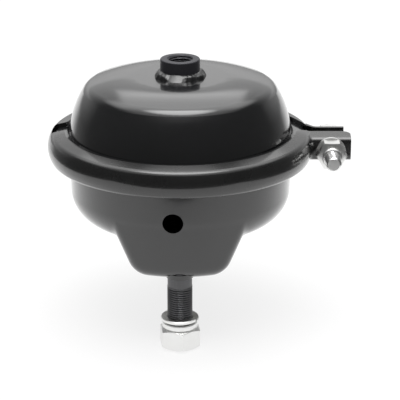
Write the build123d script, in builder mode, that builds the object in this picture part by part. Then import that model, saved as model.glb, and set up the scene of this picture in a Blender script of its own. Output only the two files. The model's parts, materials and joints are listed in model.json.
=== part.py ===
from build123d import *
import os
from math import atan, cos, degrees, radians, sin, sqrt, tan

# Service brake chamber for an air disc brake: a pressed lower housing with two
# mounting studs, a pressed pressure cover with a welded inlet, and between them
# a diaphragm held by a one-piece V clamp.  A push plate and rod ride under the
# diaphragm on a conical return spring, inside a sealing gaiter.
#
# Frame: origin at the centre of the mounting face, between the studs.  +Z points
# to the pressure cover, +Y along the line of the studs, +X to the clamp bolt.
# Units are millimetres and degrees.

# ---- Housings -------------------------------------------------------------
sheet = 3.2                 # pressed steel of both housings
housing_r = 72.2            # outside of both walls where they turn out into the lips
split_z = 68.3              # plane where the two housings meet
cover_top_z = 114.0         # flat top of the pressure cover
bend_r = 3.0                # outside radius where a wall turns out into its lip
cover_draft = 9.0           # lean of the cover's wall at its foot
cover_wall_h = 5.3          # straight stretch of that wall above the lip
cover_wall_end = 31.7       # lean where the curved wall meets the shoulder
cover_shoulder_end = 70.8   # lean where the shoulder meets the crown
cover_shoulder_r = 8.5
cover_crown_r = 84.7        # gentle crown round the flat disc

bowl_draft = 2.0            # lean of the lower housing's wall
bowl_shoulder_z = 19.5      # step beside the mounting pad
bowl_shoulder_round = 20.0
pad_half_w = 28.3           # mounting pad: half width where its sides would meet the face
pad_foot_r = 14.0           # rounding along its sides
pad_lean = 24.7             # lean of its sides
pad_edge_r = 9.0            # rounding of its upright corners and of its ends
pad_setback = 0.3           # its ends behind the round wall
pad_blend_r = 11.0          # hollow between its sides and the shoulder
vent_r = 6.5                # open drain and vent hole
vent_z = 39.1
vent_turn = 3.3             # vents stand this far round from the stud line
rod_opening_r = 17.5

# ---- V clamp --------------------------------------------------------------
clamp_reach = 2.8           # from the housings' wall to the inner edge of the clamp's lips
clamp_depth = 11.0          # from there to the outside of the band
lip_depth = 6.0             # from there to the edge of the housings' lips
clamp_half_h = 10.3         # from the split to the inner edge of a lip
band = 2.5                  # thickness of the band
clamp_slope = 12.5          # lean of the lips
clamp_round = 4.0           # outside rounding between web and lip
clamp_web_r = 15.0          # bulge of the web
clamp_edge_round = 1.0      # worn edge of the lips
seat_gap = 0.1              # between the clamp, the lips and the rubber
ear_half_h = 8.0
ear_reach = 24.0            # nut side ear, out from the band
ear_front = 13.0            # face under the nut, from the bolt's middle plane
ear_flange = 14.0           # depth of the nut side ear
ear_round = 4.0             # outside rounding of the nut side ear
tongue_reach = 20.6         # plain ear under the bolt head, out from the band
tongue_back = 11.0          # face under the bolt head
tongue_bend = 1.3           # middle of its bend, out from the band
tongue_bend_r = 4.0
tongue_root = 3.2           # where that bend leaves the band, in from its outside
tongue_root_y = 17.0
ear_corner_r = 12.0         # rounding where the lips turn out into the ear
ear_end_r = 6.0             # rounded corners at the end of the nut side ear
ear_throat_r = 3.0          # rounding between the band and the face under the nut
lip_cut = 4.0               # slant cut that ends the lips, in from the band's outside
lip_cut_y = 14.2
lip_end = 13.0
lip_end_y = 27.0
notch_w = 18.0              # relief in both lips, opposite the bolt
notch_y = 4.7
notch_r = 3.5               # rounded corners of the lips at the relief

# ---- Clamp bolt, M10 ------------------------------------------------------
bolt_reach = 11.1           # out from the band
bolt_drop = 1.2             # bolt below the split plane
bolt_r = 5.0
bolt_pitch_r = 4.6          # where the nut's thread meets the bolt's
bolt_hole_r = 5.5
bolt_tip = 40.0             # tip in front of the middle plane
bolt_tip_chamfer = 1.0
bolt_head_af = 17.0
bolt_head_h = 6.4
bolt_head_turn = 0.0        # one flat up
bolt_face_r = 6.0           # round bearing face under the head
bolt_face_h = 0.6
clamp_washer_r = 9.6
clamp_washer_t = 2.0
clamp_nut_af = 17.0
clamp_nut_h = 9.0
clamp_nut_turn = 0.0
clamp_collar_r = 6.4        # locking collar on the nut
clamp_collar_h = 4.0
thread_gap = 0.05           # between a nut's bore and its thread at the pitch line

# ---- Mounting studs, M16 x 1.5 --------------------------------------------
stud_spacing = 120.65
stud_r = 8.0
stud_pitch_r = 7.5          # where a nut's thread meets the stud's
stud_end_z = -48.4
stud_tip = 1.5
stud_root_r = 8.2           # knurled root pressed through the pad
stud_boss_r = 8.8           # flat seat coined round each stud
stud_head_r = 11.0
stud_head_h = 7.0
stud_head_gap = 1.2         # between the head's flat and the wall
stiffener_t = 5.0           # plate inside the pad
nut_af = 24.0
nut_h = 13.0
collar_washer_r = 11.3
collar_washer_t = 4.1
spring_washer_r = 12.15
spring_washer_t = 3.5
spring_washer_slit = 1.6
washer_gap = 0.3            # a washer's bore round the stud
stud_nut_end = 1.0          # thread past the nut
spring_washer_lean = 25.0   # slant of the slit
slit_turn = -31.0           # where each slit stands round its stud
front_nut_turn = 37.8
rear_nut_turn = 24.0
hex_land = 0.97             # end face of a nut, as a share of its width
hex_chamfer = 30.0

# ---- Inlet, M16 x 1.5 -----------------------------------------------------
inlet_r = 12.8
inlet_top_z = 125.5
inlet_bore_r = 7.19         # minor radius of the thread
inlet_chamfer = 0.9
inlet_spigot_r = 10.0
inlet_edge = 0.8
weld_leg = 4.4

# ---- Diaphragm, push rod, spring and gaiter -------------------------------
rubber = 3.0                # diaphragm
crown_gap = 5.0             # under the cover's flat top at rest
crown_inset = 23.2          # edge of the crown, in from the housings' wall
flank_inset = 6.2           # foot of the flank
bead_reach = 0.3            # inner edge of the wedge-shaped rim, out from that wall
crown_round = 8.0
soft_gap = 0.3              # between rubber or spring and what moves against it
plate_inset = 5.0           # push plate inside the diaphragm's crown
plate_t = 4.0
plate_edge_r = 1.5
hub_r = 15.0
hub_h = 12.0
rod_r = 10.0
rod_tip_z = -16.0
rod_tip_r = 14.0            # domed tip that seats in the brake's lever
rod_groove = 1.2            # depth of the groove that holds the gaiter's cuff
rod_fit = 0.05              # rod in the plate's hub

wire_r = 2.2
spring_inset = 25.7         # foot coil, in from the housings' wall
spring_top_r = 29.5
spring_turns = 4.5
gaiter_wall = 2.0           # across the folds, measured level
gaiter_root_r = 13.0
gaiter_crest_r = 19.5
gaiter_folds = 7
gaiter_bead_h = 7.0
gaiter_bead_t = 2.0
gaiter_flange_r = 22.5
gaiter_flange_t = 1.5
gaiter_top_z = 84.2
gaiter_cuff_h = 4.4
ring_t = 2.0                # steel ring that holds the gaiter in the opening

clamp_inner_r = housing_r + clamp_reach
clamp_r = clamp_inner_r + clamp_depth
lip_r = clamp_inner_r + lip_depth
ear_x = clamp_r + ear_reach
tongue_x = clamp_r + tongue_reach
tongue_bend_x = clamp_r + tongue_bend
tongue_root_x = clamp_r - tongue_root
lip_cut_x = clamp_r - lip_cut
lip_end_x = clamp_r - lip_end
bolt_x = clamp_r + bolt_reach
crown_r = housing_r - crown_inset
flank_foot_r = housing_r - flank_inset
bead_r = housing_r + bead_reach
plate_r = crown_r - plate_inset
spring_foot_r = housing_r - spring_inset


def lean(angle):
    return tan(radians(angle))


def lip_face(radius):
    """Height above the split of a housing lip's clamped face, at a radius."""
    top = clamp_half_h - band / cos(radians(clamp_slope)) - seat_gap
    return top - (radius - clamp_inner_r) * lean(clamp_slope)


def lip_inside(radius):
    """Height above the split of a lip's face towards the diaphragm's rim."""
    return lip_face(radius) - sheet / cos(radians(clamp_slope))


lip_corner_h = lip_face(housing_r)      # where wall and lip would meet unbent
cover_foot_z = split_z + lip_corner_h
bowl_foot_z = split_z - lip_corner_h
bowl_rim_z = bowl_foot_z - bend_r - sheet   # top of the straight wall, under the bend
floor_z = sheet
stiffener_top_z = floor_z + stiffener_t
stud_y = stud_spacing / 2
bolt_z = split_z - bolt_drop
ear_gap_y = ear_flange - ear_front      # gap side edge of the nut side ear
nut_bottom_z = stud_end_z + stud_nut_end
nut_top_z = nut_bottom_z + nut_h
collar_top_z = nut_top_z + collar_washer_t
stack_top_z = collar_top_z + spring_washer_t
crown_z = cover_top_z - sheet - crown_gap
push_plate_z = crown_z - rubber - soft_gap      # top of the push plate
plate_under_z = push_plate_z - plate_t


# ---- Pressure cover -------------------------------------------------------
def cover_rise(start, end, radius):
    """Height gained by an arc of the wall as its lean goes from start to end."""
    return radius * (sin(radians(end)) - sin(radians(start)))


def build_cover():
    rounded = cover_rise(cover_wall_end, cover_shoulder_end, cover_shoulder_r)
    rounded += cover_rise(cover_shoulder_end, 90, cover_crown_r)
    left = cover_top_z - cover_foot_z - cover_wall_h - rounded
    wall_curve_r = left / cover_rise(cover_draft, cover_wall_end, 1)
    foot = (housing_r, cover_foot_z)
    wall_top = (housing_r - cover_wall_h * lean(cover_draft), cover_foot_z + cover_wall_h)
    with BuildPart() as pressure_cover:
        with BuildSketch(Plane.XZ):
            with BuildLine() as skin:
                FilletPolyline((lip_r, split_z + lip_face(lip_r)), foot, wall_top, radius=bend_r)
                wall = JernArc(wall_top, (-lean(cover_draft), 1), wall_curve_r,
                               cover_wall_end - cover_draft)
                shoulder = JernArc(wall @ 1, wall % 1, cover_shoulder_r,
                                   cover_shoulder_end - cover_wall_end)
                crown = JernArc(shoulder @ 1, shoulder % 1, cover_crown_r,
                                90 - cover_shoulder_end)
                Line(crown @ 1, (0, cover_top_z))
                offset(amount=sheet, side=Side.LEFT)
            make_face()
        revolve(axis=Axis.Z)
        with Locations((0, 0, cover_top_z)):
            Hole(inlet_spigot_r + seat_gap, depth=2 * sheet)
    pressure_cover.part.label = "pressure_cover"
    return pressure_cover.part


# ---- Inlet ----------------------------------------------------------------
def build_inlet():
    inner_z = cover_top_z - sheet
    with BuildPart() as inlet_boss:
        with BuildSketch(Plane.XZ):
            with BuildLine():
                Polyline(
                    (inlet_bore_r, inner_z),
                    (inlet_spigot_r, inner_z),
                    (inlet_spigot_r, cover_top_z),
                    (inlet_r, cover_top_z),
                    (inlet_r, inlet_top_z - inlet_edge),
                    (inlet_r - inlet_edge, inlet_top_z),
                    (inlet_bore_r + inlet_chamfer, inlet_top_z),
                    (inlet_bore_r, inlet_top_z - inlet_chamfer),
                    close=True,
                )
            make_face()
        revolve(axis=Axis.Z)
    inlet_boss.part.label = "inlet_boss"

    with BuildPart() as inlet_weld:
        with BuildSketch(Plane.XZ):
            with BuildLine():
                toe = (inlet_r + weld_leg, cover_top_z)
                throat = (inlet_r, cover_top_z + weld_leg)
                Polyline(throat, (inlet_r, cover_top_z), toe)
                RadiusArc(throat, toe, 1.6 * weld_leg)
            make_face()
        revolve(axis=Axis.Z)
    inlet_weld.part.label = "inlet_weld"
    return inlet_boss.part, inlet_weld.part


# ---- Lower housing --------------------------------------------------------
def bowl_wall(z, inset):
    """Radius of the lower housing's wall at a height, set in by inset."""
    return housing_r - (bowl_foot_z - z) * lean(bowl_draft) - inset / cos(radians(bowl_draft))


def pad_form(inset):
    """Solid of the mounting pad, set in by inset: leaning sides, ends cut round by the wall."""
    top = bowl_shoulder_z + bowl_shoulder_round + inset
    sides = [pad_half_w + z * lean(pad_lean) - inset / cos(radians(pad_lean)) for z in (inset, top)]
    ends = [bowl_wall(z, inset) - pad_setback for z in (inset, top)]
    with BuildPart() as pad:
        with BuildSketch(Plane.XZ) as front:
            with BuildLine():
                Polyline((-sides[0], inset), (sides[0], inset), (sides[1], top),
                         (-sides[1], top), close=True)
            make_face()
            fillet(front.vertices().group_by(Axis.Y)[0], radius=pad_foot_r - inset)
        extrude(amount=2 * housing_r, both=True)
        with BuildSketch(Plane.XZ):
            with BuildLine():
                Polyline((0, inset), (ends[0], inset), (ends[1], top), (0, top), close=True)
            make_face()
        revolve(axis=Axis.Z, mode=Mode.INTERSECT)
        lid = pad.faces().sort_by(Axis.Z)[-1]
        corners = pad.faces().filter_by(GeomType.CONE).edges() - lid.edges()
        fillet(corners, radius=pad_edge_r - inset)
    return pad.part


def bowl_form(inset):
    """Solid of the lower housing below its lip, with every face set in by inset."""
    shoulder = bowl_shoulder_z + inset
    with BuildPart() as form:
        with BuildSketch(Plane.XZ) as half:
            with BuildLine():
                Polyline(
                    (0, shoulder),
                    (bowl_wall(shoulder, inset), shoulder),
                    (bowl_wall(bowl_rim_z, inset), bowl_rim_z),
                    (0, bowl_rim_z),
                    close=True,
                )
            make_face()
            outer = half.vertices().sort_by(Axis.X)[-2:].sort_by(Axis.Y)[0]
            fillet(outer, radius=bowl_shoulder_round - inset)
        revolve(axis=Axis.Z)
        add(pad_form(inset))
        joints = form.edges().filter_by(GeomType.CIRCLE, reverse=True)
        low = shoulder - seat_gap
        high = shoulder + bowl_shoulder_round
        seam = [e for e in joints if low < e.bounding_box().min.Z and e.bounding_box().max.Z < high]
        fillet(seam, radius=pad_blend_r + inset)
    return form.part


def build_bowl():
    with BuildPart() as housing_bowl:
        add(bowl_form(0))
        with Locations((0, stud_y, 0), (0, -stud_y, 0)):
            Cylinder(stud_boss_r, floor_z, align=(Align.CENTER, Align.CENTER, Align.MIN))
        add(bowl_form(sheet), mode=Mode.SUBTRACT)
        with BuildSketch(Plane.XZ):
            with BuildLine():
                wall_z = bowl_rim_z - sheet
                FilletPolyline((bowl_wall(wall_z, 0), wall_z), (housing_r, bowl_foot_z),
                               (lip_r, split_z - lip_face(lip_r)), radius=bend_r)
                offset(amount=sheet, side=Side.LEFT)
            make_face()
        revolve(axis=Axis.Z)
        Hole(rod_opening_r)
        with Locations((0, stud_y, 0), (0, -stud_y, 0)):
            Cylinder(stud_root_r, stiffener_top_z, mode=Mode.SUBTRACT,
                     align=(Align.CENTER, Align.CENTER, Align.MIN))
        with Locations(Location((0, 0, vent_z), (90, -vent_turn, 0))):
            Cylinder(vent_r, 2 * clamp_r, mode=Mode.SUBTRACT)
    housing_bowl.part.label = "housing_bowl"
    return housing_bowl.part


def build_stiffener():
    """Thick plate that fills the pad inside the lower housing and carries the studs."""
    with BuildPart() as stiffener_plate:
        with BuildSketch(Plane.XY.offset(floor_z)):
            Circle(housing_r)
        extrude(amount=stiffener_t)
        add(bowl_form(sheet + seat_gap).moved(Location((0, 0, -seat_gap))), mode=Mode.INTERSECT)
        Hole(rod_opening_r)
        with Locations((0, stud_y, 0), (0, -stud_y, 0)):
            Hole(stud_root_r)
    stiffener_plate.part.label = "stiffener_plate"
    return stiffener_plate.part


# ---- Hexagons and rings ---------------------------------------------------
def hexagon(af, height, top_z, turn):
    """Hexagonal block with both ends chamfered, its top face at top_z."""
    corner_r = af / sqrt(3)
    flat_r = hex_land * af / 2
    fall = (corner_r - flat_r) * lean(hex_chamfer)
    with BuildPart() as block:
        with BuildSketch(Plane.XY.offset(top_z - height)):
            RegularPolygon(af / 2, 6, major_radius=False, rotation=turn)
        extrude(amount=height)
        with BuildSketch(Plane.XZ):
            with BuildLine():
                Polyline(
                    (0, top_z - height),
                    (flat_r, top_z - height),
                    (corner_r, top_z - height + fall),
                    (corner_r, top_z - fall),
                    (flat_r, top_z),
                    (0, top_z),
                    close=True,
                )
            make_face()
        revolve(axis=Axis.Z, mode=Mode.INTERSECT)
    return block.part


def ring(outer_r, inner_r, top_z, height):
    """Plain ring round the Z axis, its top face at top_z."""
    with BuildPart() as washer:
        with BuildSketch(Plane.XY.offset(top_z - height)):
            Circle(outer_r)
            Circle(inner_r, mode=Mode.SUBTRACT)
        extrude(amount=height)
    return washer.part


# ---- Mounting studs and their nuts ----------------------------------------
def build_stud(name, side):
    """One stud, on the +Y or -Y side: D head, root in the pad, thread."""
    head_flat = bowl_wall(stiffener_top_z, sheet) - stud_y - stud_head_gap
    with BuildPart() as stud:
        with BuildSketch(Plane.XY.offset(stiffener_top_z)):
            Circle(stud_head_r)
            with Locations((0, side * (head_flat + stud_head_r))):
                Rectangle(2 * stud_head_r, 2 * stud_head_r, mode=Mode.SUBTRACT)
        extrude(amount=stud_head_h)
        with BuildSketch(Plane.XZ):
            with BuildLine():
                Polyline(
                    (0, stiffener_top_z),
                    (stud_root_r, stiffener_top_z),
                    (stud_root_r, 0),
                    (stud_r, 0),
                    (stud_r, stack_top_z),
                    (stud_pitch_r, stack_top_z),
                    (stud_pitch_r, stud_end_z + stud_tip),
                    (stud_pitch_r - stud_tip, stud_end_z),
                    (0, stud_end_z),
                    close=True,
                )
            make_face()
        revolve(axis=Axis.Z)
    part = stud.part.moved(Location((0, side * stud_y, 0)))
    part.label = f"stud_{name}"
    return part


def build_stud_stack(name, side, nut_turn):
    """Nut, collar washer and spring washer on one stud."""
    place = Location((0, side * stud_y, 0))
    bore_r = stud_r + washer_gap

    with BuildPart() as nut:
        add(hexagon(nut_af, nut_h, nut_top_z, nut_turn))
        with Locations((0, 0, nut_top_z)):
            Hole(stud_pitch_r + thread_gap, depth=nut_h)
    stud_nut = nut.part.moved(place)
    stud_nut.label = f"stud_nut_{name}"

    collar = ring(collar_washer_r, bore_r, collar_top_z, collar_washer_t).moved(place)
    collar.label = f"collar_washer_{name}"

    with BuildPart() as split_ring:
        add(ring(spring_washer_r, bore_r, stack_top_z, spring_washer_t))
        middle = (spring_washer_r, 0, stack_top_z - spring_washer_t / 2)
        with Locations(Location(middle, (spring_washer_lean, 0, 0))):
            Box(spring_washer_r, spring_washer_slit, 2 * spring_washer_t, mode=Mode.SUBTRACT)
    spring_washer = split_ring.part.moved(place * Location((0, 0, 0), (0, 0, slit_turn)))
    spring_washer.label = f"spring_washer_{name}"
    return stud_nut, collar, spring_washer


# ---- V clamp --------------------------------------------------------------
def clamp_form(inset, edge_round):
    """Outside of the V band as a solid ring, or with an inset the room inside it."""
    edge = (clamp_inner_r - 2 * inset, clamp_r - inset)
    slant = inset / cos(radians(clamp_slope))
    half = [clamp_half_h - slant - (r - clamp_inner_r) * lean(clamp_slope) for r in edge]
    with BuildPart() as form:
        with BuildSketch(Plane.XZ) as section:
            with BuildLine():
                Polyline(
                    (edge[0], split_z - half[0]),
                    (edge[1], split_z - half[1]),
                    (edge[1], split_z + half[1]),
                    (edge[0], split_z + half[0]),
                    close=True,
                )
            make_face()
            with Locations((clamp_r - clamp_web_r, split_z)):
                Circle(clamp_web_r - inset, mode=Mode.INTERSECT)
            inner, outer = section.vertices().group_by(Axis.X)
            fillet(outer, radius=clamp_round - inset)
            fillet(inner, radius=edge_round)
        revolve(axis=Axis.Z)
    return form.part


def clamp_opening():
    """Plan of what the band leaves open: its bore, the gap between the ears, the relief."""
    rounded = [(clamp_inner_r, ear_gap_y, ear_corner_r)]
    rounded += [(tongue_bend_x, tongue_back - band, tongue_bend_r + band)]
    rounded += [(-clamp_inner_r, notch_y + side * notch_w / 2, notch_r) for side in (-1, 1)]
    with BuildSketch(Plane.XY.offset(split_z)) as relief:
        with Locations((-clamp_inner_r, notch_y)):
            Rectangle(2 * clamp_r, notch_w)
        Circle(clamp_r - band, mode=Mode.INTERSECT)
    with BuildSketch(Plane.XY.offset(split_z)) as plan:
        with BuildLine():
            Polyline(
                (0, ear_gap_y),
                (ear_x, ear_gap_y),
                (ear_x, tongue_back - band),
                (tongue_bend_x, tongue_back - band),
                (lip_cut_x, lip_cut_y),
                (lip_end_x, lip_end_y),
                (0, lip_end_y),
                close=True,
            )
        make_face()
        add(relief.sketch)
        Circle(clamp_inner_r)
        for x, y, radius in rounded:
            corner = plan.vertices().sort_by_distance((x, y, split_z))[0]
            fillet(corner, radius=radius)
    return plan.sketch


def build_clamp_band():
    ear_start = clamp_inner_r + clamp_round
    ear_l = ear_x - ear_start
    with BuildPart() as clamp_band:
        add(clamp_form(0, clamp_edge_round))
        with Locations((ear_start, -ear_front, split_z)):
            ear = Box(ear_l, ear_flange, 2 * ear_half_h, mode=Mode.PRIVATE,
                      align=(Align.MIN, Align.MIN, Align.CENTER))
        folds = ear.edges().filter_by(Axis.X).group_by(Axis.Y)[0]
        ear = ear.fillet(ear_round, folds)
        ends = ear.edges().filter_by(Axis.Z).group_by(Axis.Y)[-1].sort_by(Axis.X)[-1:]
        add(ear.fillet(ear_end_r, ends))
        throat = (sqrt(clamp_r**2 - ear_front**2), -ear_front, split_z)
        fillet(clamp_band.edges().sort_by_distance(throat)[0], radius=ear_throat_r)
        with BuildSketch(Plane.XY.offset(split_z)) as tongue:
            with BuildLine():
                Polyline(
                    (ear_start, ear_gap_y),
                    (tongue_x, ear_gap_y),
                    (tongue_x, tongue_back),
                    (tongue_bend_x, tongue_back),
                    (tongue_root_x, tongue_root_y),
                    (ear_start, tongue_root_y),
                    close=True,
                )
            make_face()
            bend = tongue.vertices().sort_by_distance((tongue_bend_x, tongue_back, split_z))[0]
            fillet(bend, radius=tongue_bend_r)
        extrude(amount=ear_half_h, both=True)
        add(clamp_form(band, clamp_edge_round), mode=Mode.SUBTRACT)
        with Locations((ear_start, band - ear_front, split_z)):
            Box(ear_x, ear_flange, 2 * (ear_half_h - band), mode=Mode.SUBTRACT,
                align=(Align.MIN, Align.MIN, Align.CENTER))
        extrude(clamp_opening(), amount=2 * clamp_half_h, both=True, mode=Mode.SUBTRACT)
        with Locations(Location((bolt_x, 0, bolt_z), (90, 0, 0))):
            Cylinder(bolt_hole_r, 2 * bolt_tip, mode=Mode.SUBTRACT)
    clamp_band.part.label = "clamp_band"
    return clamp_band.part


# ---- Clamp bolt -----------------------------------------------------------
def build_clamp_bolt():
    """Bolt, washer and nut, drawn along +Z and laid down so that +Z runs to -Y."""
    place = Location((bolt_x, 0, bolt_z), (90, 0, 0))
    washer_end = ear_front + clamp_washer_t
    nut_end = washer_end + clamp_nut_h

    with BuildPart() as bolt:
        head_start = -tongue_back - bolt_face_h
        add(hexagon(bolt_head_af, bolt_head_h, head_start, bolt_head_turn))
        with BuildSketch(Plane.XZ):
            with BuildLine():
                Polyline(
                    (0, head_start),
                    (bolt_face_r, head_start),
                    (bolt_face_r, -tongue_back),
                    (bolt_r, -tongue_back),
                    (bolt_r, washer_end),
                    (bolt_pitch_r, washer_end),
                    (bolt_pitch_r, bolt_tip - bolt_tip_chamfer),
                    (bolt_pitch_r - bolt_tip_chamfer, bolt_tip),
                    (0, bolt_tip),
                    close=True,
                )
            make_face()
        revolve(axis=Axis.Z)
    clamp_bolt = bolt.part.moved(place)
    clamp_bolt.label = "clamp_bolt"

    clamp_washer = ring(clamp_washer_r, bolt_hole_r, washer_end, clamp_washer_t).moved(place)
    clamp_washer.label = "clamp_washer"

    with BuildPart() as nut:
        add(hexagon(clamp_nut_af, clamp_nut_h, nut_end, clamp_nut_turn))
        with Locations((0, 0, nut_end)):
            Cylinder(clamp_collar_r, clamp_collar_h,
                     align=(Align.CENTER, Align.CENTER, Align.MIN))
        with Locations((0, 0, nut_end + clamp_collar_h)):
            Hole(bolt_pitch_r + thread_gap)
    clamp_nut = nut.part.moved(place)
    clamp_nut.label = "clamp_nut"
    return clamp_bolt, clamp_washer, clamp_nut


# ---- Diaphragm ------------------------------------------------------------
def build_diaphragm():
    """Moulded rubber cup with a wedge-shaped rim that the clamp squeezes."""
    rim = [(r, lip_inside(r) - seat_gap) for r in (bead_r, lip_r)]
    root_z = split_z + rubber / 2
    with BuildPart() as diaphragm:
        with BuildSketch(Plane.XZ):
            with BuildLine():
                FilletPolyline((bead_r + rubber, root_z), (flank_foot_r, root_z),
                               (crown_r, crown_z), (0, crown_z), radius=crown_round)
                offset(amount=rubber, side=Side.LEFT)
            make_face()
            with BuildLine():
                Polyline(
                    (bead_r, split_z - rim[0][1]),
                    (lip_r, split_z - rim[1][1]),
                    (lip_r, split_z + rim[1][1]),
                    (bead_r, split_z + rim[0][1]),
                    close=True,
                )
            make_face()
        revolve(axis=Axis.Z)
    diaphragm.part.label = "diaphragm"
    return diaphragm.part


# ---- Push plate and rod ---------------------------------------------------
def build_push_plate():
    hub_z = plate_under_z - hub_h
    with BuildPart() as push_plate:
        with BuildSketch(Plane.XZ) as half:
            with BuildLine():
                Polyline(
                    (0, push_plate_z),
                    (plate_r, push_plate_z),
                    (plate_r, plate_under_z),
                    (hub_r, plate_under_z),
                    (hub_r, hub_z),
                    (rod_r + rod_fit, hub_z),
                    (rod_r + rod_fit, plate_under_z),
                    (0, plate_under_z),
                    close=True,
                )
            make_face()
            fillet(half.vertices().group_by(Axis.X)[-1], radius=plate_edge_r)
        revolve(axis=Axis.Z)
    push_plate.part.label = "push_plate"
    return push_plate.part


def build_push_rod():
    """Rod with a groove for the gaiter's cuff and a domed tip."""
    dome_z = rod_tip_z + rod_tip_r - sqrt(rod_tip_r**2 - rod_r**2)
    groove = (gaiter_top_z - gaiter_cuff_h - soft_gap, gaiter_top_z + soft_gap)
    with BuildPart() as push_rod:
        with BuildSketch(Plane.XZ):
            with BuildLine():
                Polyline(
                    (0, rod_tip_z),
                    (0, plate_under_z),
                    (rod_r, plate_under_z),
                    (rod_r, groove[1]),
                    (rod_r - rod_groove, groove[1]),
                    (rod_r - rod_groove, groove[0]),
                    (rod_r, groove[0]),
                    (rod_r, dome_z),
                )
                RadiusArc((rod_r, dome_z), (0, rod_tip_z), rod_tip_r)
            make_face()
        revolve(axis=Axis.Z)
    push_rod.part.label = "push_rod"
    return push_rod.part


# ---- Return spring --------------------------------------------------------
def build_return_spring():
    """Conical wire coil from the housing's shoulder up to the push plate."""
    low = bowl_shoulder_z + sheet + wire_r
    height = plate_under_z - soft_gap - wire_r - low
    cone = degrees(atan((spring_foot_r - spring_top_r) / height))
    with BuildPart() as return_spring:
        with BuildLine(Plane.XY.offset(low)):
            coil = Helix(height / spring_turns, height, spring_foot_r, cone_angle=-cone)
        with BuildSketch(Plane(coil @ 0, z_dir=coil % 0)):
            Circle(wire_r)
        sweep()
    return_spring.part.label = "return_spring"
    return return_spring.part


# ---- Gaiter ---------------------------------------------------------------
def build_gaiter():
    """Rubber bellows: a bead in the rod opening, folds, and a cuff in the rod's groove."""
    flange_z = stiffener_top_z + gaiter_flange_t
    foot_z = stiffener_top_z - gaiter_bead_h
    outside_r = rod_opening_r - seat_gap
    inside_r = outside_r - gaiter_bead_t
    cuff_z = gaiter_top_z - gaiter_cuff_h
    radii = [gaiter_root_r, gaiter_crest_r] * gaiter_folds + [gaiter_root_r]
    fold_h = (cuff_z - flange_z) / len(radii)
    outer = [(r, flange_z + (i + 1) * fold_h) for i, r in enumerate(radii)]
    inner = [(r - gaiter_wall, z) for r, z in reversed(outer)]
    cuff_r = rod_r - rod_groove + soft_gap
    with BuildPart() as gaiter:
        with BuildSketch(Plane.XZ):
            with BuildLine():
                Polyline(
                    (outside_r, foot_z),
                    (outside_r, stiffener_top_z),
                    (gaiter_flange_r, stiffener_top_z),
                    (gaiter_flange_r, flange_z),
                    (gaiter_crest_r, flange_z),
                    *outer,
                    (gaiter_root_r, gaiter_top_z),
                    (cuff_r, gaiter_top_z),
                    (cuff_r, cuff_z),
                    *inner,
                    (inside_r, flange_z),
                    (inside_r, foot_z),
                    close=True,
                )
            make_face()
        revolve(axis=Axis.Z)
    gaiter.part.label = "gaiter"

    ring_r = inside_r - seat_gap
    gaiter_ring = ring(ring_r, ring_r - ring_t, stiffener_top_z, gaiter_bead_h)
    gaiter_ring.label = "gaiter_ring"
    return gaiter.part, gaiter_ring


# ---- All pieces -----------------------------------------------------------
pieces = [
    build_cover(),
    *build_inlet(),
    build_bowl(),
    build_stiffener(),
    build_stud("front", -1),
    build_stud("rear", 1),
    *build_stud_stack("front", -1, front_nut_turn),
    *build_stud_stack("rear", 1, rear_nut_turn),
    build_clamp_band(),
    *build_clamp_bolt(),
    build_diaphragm(),
    build_push_plate(),
    build_push_rod(),
    build_return_spring(),
    *build_gaiter(),
]
os.makedirs("parts", exist_ok=True)
for piece in pieces:
    export_step(piece, f"parts/{piece.label}.step")
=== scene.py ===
import json
from math import pi, radians

import bmesh
import bpy
import numpy as np
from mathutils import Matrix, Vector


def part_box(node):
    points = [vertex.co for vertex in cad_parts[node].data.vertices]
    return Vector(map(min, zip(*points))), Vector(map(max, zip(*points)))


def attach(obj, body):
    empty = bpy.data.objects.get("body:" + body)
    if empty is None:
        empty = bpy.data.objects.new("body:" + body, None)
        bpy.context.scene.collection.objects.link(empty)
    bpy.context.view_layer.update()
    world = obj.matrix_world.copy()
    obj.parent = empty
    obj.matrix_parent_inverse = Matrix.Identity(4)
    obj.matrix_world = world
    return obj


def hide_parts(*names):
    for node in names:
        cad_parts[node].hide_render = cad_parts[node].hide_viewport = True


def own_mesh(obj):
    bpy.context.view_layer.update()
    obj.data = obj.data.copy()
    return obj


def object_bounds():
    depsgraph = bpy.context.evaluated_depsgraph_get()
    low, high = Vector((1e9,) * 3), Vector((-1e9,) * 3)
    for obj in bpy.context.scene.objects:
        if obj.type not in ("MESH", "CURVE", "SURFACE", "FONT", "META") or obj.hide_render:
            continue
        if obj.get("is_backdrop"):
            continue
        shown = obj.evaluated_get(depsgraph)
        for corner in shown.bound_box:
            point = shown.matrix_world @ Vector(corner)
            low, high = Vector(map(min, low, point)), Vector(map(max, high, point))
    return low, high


bl_info = {
    "name": "Brake chamber",
    "version": (1, 0, 0),
    "blender": (4, 5, 0),
    "location": "3D View > Sidebar > Brake Chamber",
    "description": "Finishes and detail for an air brake chamber",
    "category": "Add Mesh",
}

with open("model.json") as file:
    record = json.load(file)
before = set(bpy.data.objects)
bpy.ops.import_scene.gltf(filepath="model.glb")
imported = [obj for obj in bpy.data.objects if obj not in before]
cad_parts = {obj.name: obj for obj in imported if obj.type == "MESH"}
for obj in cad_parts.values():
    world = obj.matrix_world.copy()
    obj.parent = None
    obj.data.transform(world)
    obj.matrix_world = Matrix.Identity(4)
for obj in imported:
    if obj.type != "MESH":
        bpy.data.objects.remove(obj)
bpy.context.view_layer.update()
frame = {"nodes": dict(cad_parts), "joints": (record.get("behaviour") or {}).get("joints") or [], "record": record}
MM = 0.001

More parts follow.
